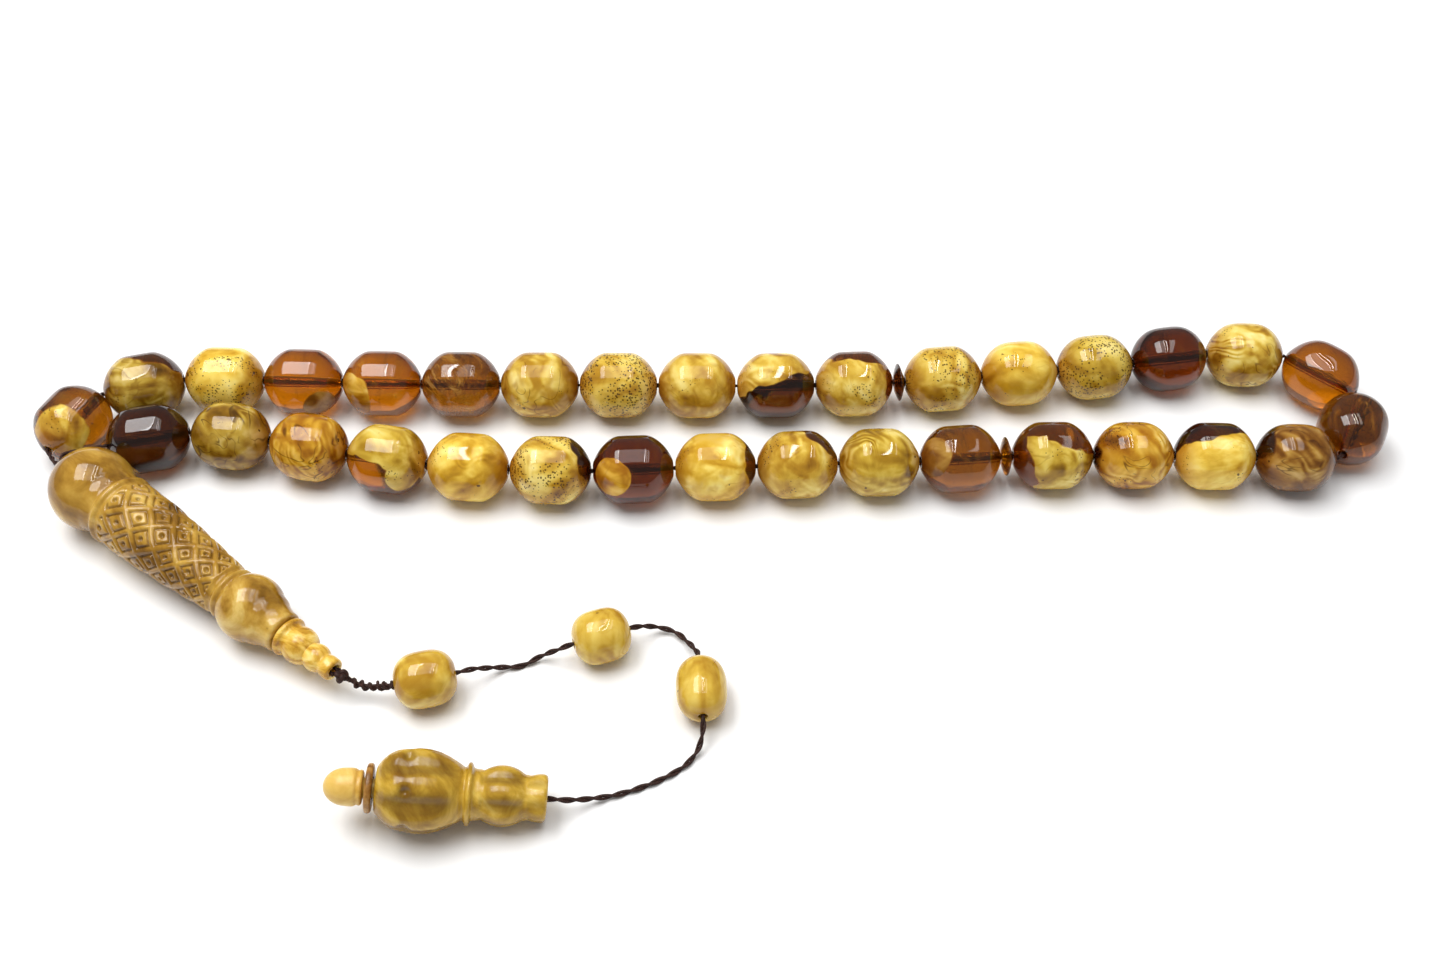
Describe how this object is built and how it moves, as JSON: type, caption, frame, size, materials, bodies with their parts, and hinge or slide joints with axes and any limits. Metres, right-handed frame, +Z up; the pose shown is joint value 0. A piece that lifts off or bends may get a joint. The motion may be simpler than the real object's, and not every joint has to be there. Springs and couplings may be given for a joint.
{
  "type": "misbaha prayer beads",
  "caption": "String of drilled barrel beads with thin counting discs, a carved leader bead, and a twisted tail cord with small beads and a turned pendant.",
  "frame": {"origin": "centre of the footprint of the beads, the imame and the pendant, on the plane that they lie on", "axes": "+X along the laid string, away from the imame; +Y from the tail towards the string; +Z up"},
  "size_m": [0.2022, 0.0899, 0.0122],
  "materials": {
    "yellow_resin": "polished opaque yellow resin with brown and black flecks",
    "clear_amber_resin": "polished clear reddish amber resin with opaque yellow patches",
    "olive_resin": "polished olive and cream swirled resin",
    "disc_resin": "polished brown resin",
    "imame_resin": "polished olive-gold marbled resin, carved",
    "pale_resin": "polished pale yellow resin",
    "tail_resin": "polished gold-yellow resin",
    "cord_thread": "twisted dark brown waxed thread"
  },
  "bodies": {
    "root": {"imame": "imame_resin", "pendant_body": "imame_resin", "loop_cord": "cord_thread", "tail_cord": "cord_thread", "tip_knot": "cord_thread", "pendant_knot": "cord_thread"},
    "bead_01": {"bead_01": "olive_resin"},
    "bead_02": {"bead_02": "olive_resin"},
    "bead_03": {"bead_03": "yellow_resin"},
    "bead_04": {"bead_04": "clear_amber_resin"},
    "bead_05": {"bead_05": "clear_amber_resin"},
    "bead_06": {"bead_06": "clear_amber_resin"},
    "bead_07": {"bead_07": "yellow_resin"},
    "bead_08": {"bead_08": "yellow_resin"},
    "bead_09": {"bead_09": "yellow_resin"},
    "bead_10": {"bead_10": "clear_amber_resin"},
    "bead_11": {"bead_11": "yellow_resin"},
    "bead_12": {"bead_12": "yellow_resin"},
    "bead_13": {"bead_13": "yellow_resin"},
    "bead_14": {"bead_14": "yellow_resin"},
    "bead_15": {"bead_15": "clear_amber_resin"},
    "bead_16": {"bead_16": "yellow_resin"},
    "bead_17": {"bead_17": "clear_amber_resin"},
    "bead_18": {"bead_18": "clear_amber_resin"},
    "bead_19": {"bead_19": "olive_resin"},
    "bead_20": {"bead_20": "yellow_resin"},
    "bead_21": {"bead_21": "yellow_resin"},
    "bead_22": {"bead_22": "olive_resin"},
    "bead_23": {"bead_23": "clear_amber_resin"},
    "bead_24": {"bead_24": "olive_resin"},
    "bead_25": {"bead_25": "yellow_resin"},
    "bead_26": {"bead_26": "yellow_resin"},
    "bead_27": {"bead_27": "clear_amber_resin"},
    "bead_28": {"bead_28": "yellow_resin"},
    "bead_29": {"bead_29": "yellow_resin"},
    "bead_30": {"bead_30": "yellow_resin"},
    "bead_31": {"bead_31": "yellow_resin"},
    "bead_32": {"bead_32": "olive_resin"},
    "bead_33": {"bead_33": "clear_amber_resin"},
    "disc_1": {"disc_1": "disc_resin"},
    "disc_2": {"disc_2": "disc_resin"},
    "imame_tip": {"imame_tip": "pale_resin"},
    "tail_bead_1": {"tail_bead_1": "tail_resin"},
    "tail_bead_2": {"tail_bead_2": "tail_resin"},
    "tail_bead_3": {"tail_bead_3": "tail_resin"},
    "pendant_plug": {"pendant_plug": "pale_resin"},
    "pendant_washer": {"pendant_washer": "disc_resin"}
  },
  "joints": [
    {"name": "bead_01_spin", "type": "hinge", "parent": "root", "child": "bead_01", "pos_m": [-0.09566, 0.02152, 0.005], "axis": [0.3907, 0.9205, 0], "continuous": true},
    {"name": "bead_02_spin", "type": "hinge", "parent": "root", "child": "bead_02", "pos_m": [-0.08694, 0.02923, 0.005], "axis": [0.9613, 0.2756, 0], "continuous": true},
    {"name": "bead_03_spin", "type": "hinge", "parent": "root", "child": "bead_03", "pos_m": [-0.07497, 0.03091, 0.005], "axis": [1, 0, 0], "continuous": true},
    {"name": "bead_04_spin", "type": "hinge", "parent": "root", "child": "bead_04", "pos_m": [-0.06296, 0.03081, 0.005], "axis": [0.9998, -0.0175, 0], "continuous": true},
    {"name": "bead_05_spin", "type": "hinge", "parent": "root", "child": "bead_05", "pos_m": [-0.05095, 0.0307, 0.005], "axis": [1, 0, 0], "continuous": true},
    {"name": "bead_06_spin", "type": "hinge", "parent": "root", "child": "bead_06", "pos_m": [-0.03894, 0.03081, 0.005], "axis": [0.9998, 0.0175, 0], "continuous": true},
    {"name": "bead_07_spin", "type": "hinge", "parent": "root", "child": "bead_07", "pos_m": [-0.02694, 0.03102, 0.005], "axis": [0.9998, 0.0175, 0], "continuous": true},
    {"name": "bead_08_spin", "type": "hinge", "parent": "root", "child": "bead_08", "pos_m": [-0.01494, 0.03123, 0.005], "axis": [0.9998, 0.0175, 0], "continuous": true},
    {"name": "bead_09_spin", "type": "hinge", "parent": "root", "child": "bead_09", "pos_m": [-0.00294, 0.03144, 0.005], "axis": [0.9998, 0.0175, 0], "continuous": true},
    {"name": "bead_10_spin", "type": "hinge", "parent": "root", "child": "bead_10", "pos_m": [0.00907, 0.03175, 0.005], "axis": [0.9994, 0.0349, 0], "continuous": true},
    {"name": "bead_11_spin", "type": "hinge", "parent": "root", "child": "bead_11", "pos_m": [0.02107, 0.03238, 0.005], "axis": [0.9976, 0.0698, 0], "continuous": true},
    {"name": "bead_12_spin", "type": "hinge", "parent": "root", "child": "bead_12", "pos_m": [0.03475, 0.03374, 0.005], "axis": [0.9925, 0.1219, 0], "continuous": true},
    {"name": "bead_13_spin", "type": "hinge", "parent": "root", "child": "bead_13", "pos_m": [0.04666, 0.0352, 0.005], "axis": [0.9925, 0.1219, 0], "continuous": true},
    {"name": "bead_14_spin", "type": "hinge", "parent": "root", "child": "bead_14", "pos_m": [0.05857, 0.03688, 0.005], "axis": [0.9877, 0.1564, 0], "continuous": true},
    {"name": "bead_15_spin", "type": "hinge", "parent": "root", "child": "bead_15", "pos_m": [0.07041, 0.03896, 0.005], "axis": [0.9816, 0.1908, 0], "continuous": true},
    {"name": "bead_16_spin", "type": "hinge", "parent": "root", "child": "bead_16", "pos_m": [0.08244, 0.04012, 0.005], "axis": [1, 0, 0], "continuous": true},
    {"name": "bead_17_spin", "type": "hinge", "parent": "root", "child": "bead_17", "pos_m": [0.09348, 0.036, 0.005], "axis": [0.7547, -0.6561, 0], "continuous": true},
    {"name": "bead_18_spin", "type": "hinge", "parent": "root", "child": "bead_18", "pos_m": [0.09565, 0.02482, 0.005], "axis": [-0.454, -0.891, 0], "continuous": true},
    {"name": "bead_19_spin", "type": "hinge", "parent": "root", "child": "bead_19", "pos_m": [0.08585, 0.01882, 0.005], "axis": [-1, 0, 0], "continuous": true},
    {"name": "bead_20_spin", "type": "hinge", "parent": "root", "child": "bead_20", "pos_m": [0.07385, 0.01882, 0.005], "axis": [-1, 0, 0], "continuous": true},
    {"name": "bead_21_spin", "type": "hinge", "parent": "root", "child": "bead_21", "pos_m": [0.06184, 0.01871, 0.005], "axis": [-0.9998, -0.0175, 0], "continuous": true},
    {"name": "bead_22_spin", "type": "hinge", "parent": "root", "child": "bead_22", "pos_m": [0.04983, 0.0184, 0.005], "axis": [-0.9994, -0.0349, 0], "continuous": true},
    {"name": "bead_23_spin", "type": "hinge", "parent": "root", "child": "bead_23", "pos_m": [0.03611, 0.01741, 0.005], "axis": [-0.9945, -0.1045, 0], "continuous": true},
    {"name": "bead_24_spin", "type": "hinge", "parent": "root", "child": "bead_24", "pos_m": [0.02411, 0.01646, 0.005], "axis": [-0.9986, -0.0523, 0], "continuous": true},
    {"name": "bead_25_spin", "type": "hinge", "parent": "root", "child": "bead_25", "pos_m": [0.01212, 0.01573, 0.005], "axis": [-0.9976, -0.0698, 0], "continuous": true},
    {"name": "bead_26_spin", "type": "hinge", "parent": "root", "child": "bead_26", "pos_m": [0.00013, 0.015, 0.005], "axis": [-0.9986, -0.0523, 0], "continuous": true},
    {"name": "bead_27_spin", "type": "hinge", "parent": "root", "child": "bead_27", "pos_m": [-0.01186, 0.01426, 0.005], "axis": [-0.9976, -0.0698, 0], "continuous": true},
    {"name": "bead_28_spin", "type": "hinge", "parent": "root", "child": "bead_28", "pos_m": [-0.0239, 0.01384, 0.005], "axis": [-1, 0, 0], "continuous": true},
    {"name": "bead_29_spin", "type": "hinge", "parent": "root", "child": "bead_29", "pos_m": [-0.03593, 0.01416, 0.005], "axis": [-0.9986, 0.0523, 0], "continuous": true},
    {"name": "bead_30_spin", "type": "hinge", "parent": "root", "child": "bead_30", "pos_m": [-0.04792, 0.01542, 0.005], "axis": [-0.9877, 0.1564, 0], "continuous": true},
    {"name": "bead_31_spin", "type": "hinge", "parent": "root", "child": "bead_31", "pos_m": [-0.05976, 0.01751, 0.005], "axis": [-0.9816, 0.1908, 0], "continuous": true},
    {"name": "bead_32_spin", "type": "hinge", "parent": "root", "child": "bead_32", "pos_m": [-0.07166, 0.01939, 0.005], "axis": [-0.9925, 0.1219, 0], "continuous": true},
    {"name": "bead_33_spin", "type": "hinge", "parent": "root", "child": "bead_33", "pos_m": [-0.0837, 0.01866, 0.005], "axis": [-0.9703, -0.2419, 0], "continuous": true},
    {"name": "disc_1_spin", "type": "hinge", "parent": "root", "child": "disc_1", "pos_m": [0.02795, 0.03291, 0.005], "axis": [0.9925, 0.1219, 0], "continuous": true},
    {"name": "disc_2_spin", "type": "hinge", "parent": "root", "child": "disc_2", "pos_m": [0.04294, 0.01811, 0.005], "axis": [-0.9962, -0.0872, 0], "continuous": true},
    {"name": "imame_tip_spin", "type": "hinge", "parent": "root", "child": "imame_tip", "pos_m": [-0.05336, -0.01835, 0.00433], "axis": [0.8032, -0.5943, -0.0401], "continuous": true},
    {"name": "tail_bead_1_spin", "type": "hinge", "parent": "root", "child": "tail_bead_1", "pos_m": [-0.0376, -0.0219, 0.00385], "axis": [0.9659, 0.2588, 0], "continuous": true},
    {"name": "tail_bead_2_spin", "type": "hinge", "parent": "root", "child": "tail_bead_2", "pos_m": [-0.0148, -0.0144, 0.0037], "axis": [0.9397, 0.342, 0], "continuous": true},
    {"name": "tail_bead_3_spin", "type": "hinge", "parent": "root", "child": "tail_bead_3", "pos_m": [-0.0011, -0.0223, 0.0034], "axis": [0.0698, -0.9976, 0], "continuous": true},
    {"name": "plug_pull", "type": "slide", "parent": "root", "child": "pendant_plug", "axis": [-0.9906, -0.0259, 0.134], "range_m": [0, 0.006]},
    {"name": "washer_spin", "type": "hinge", "parent": "pendant_plug", "child": "pendant_washer", "pos_m": [-0.04184, -0.03956, 0.0062], "axis": [0.9906, 0.0259, -0.134], "continuous": true}
  ]
}
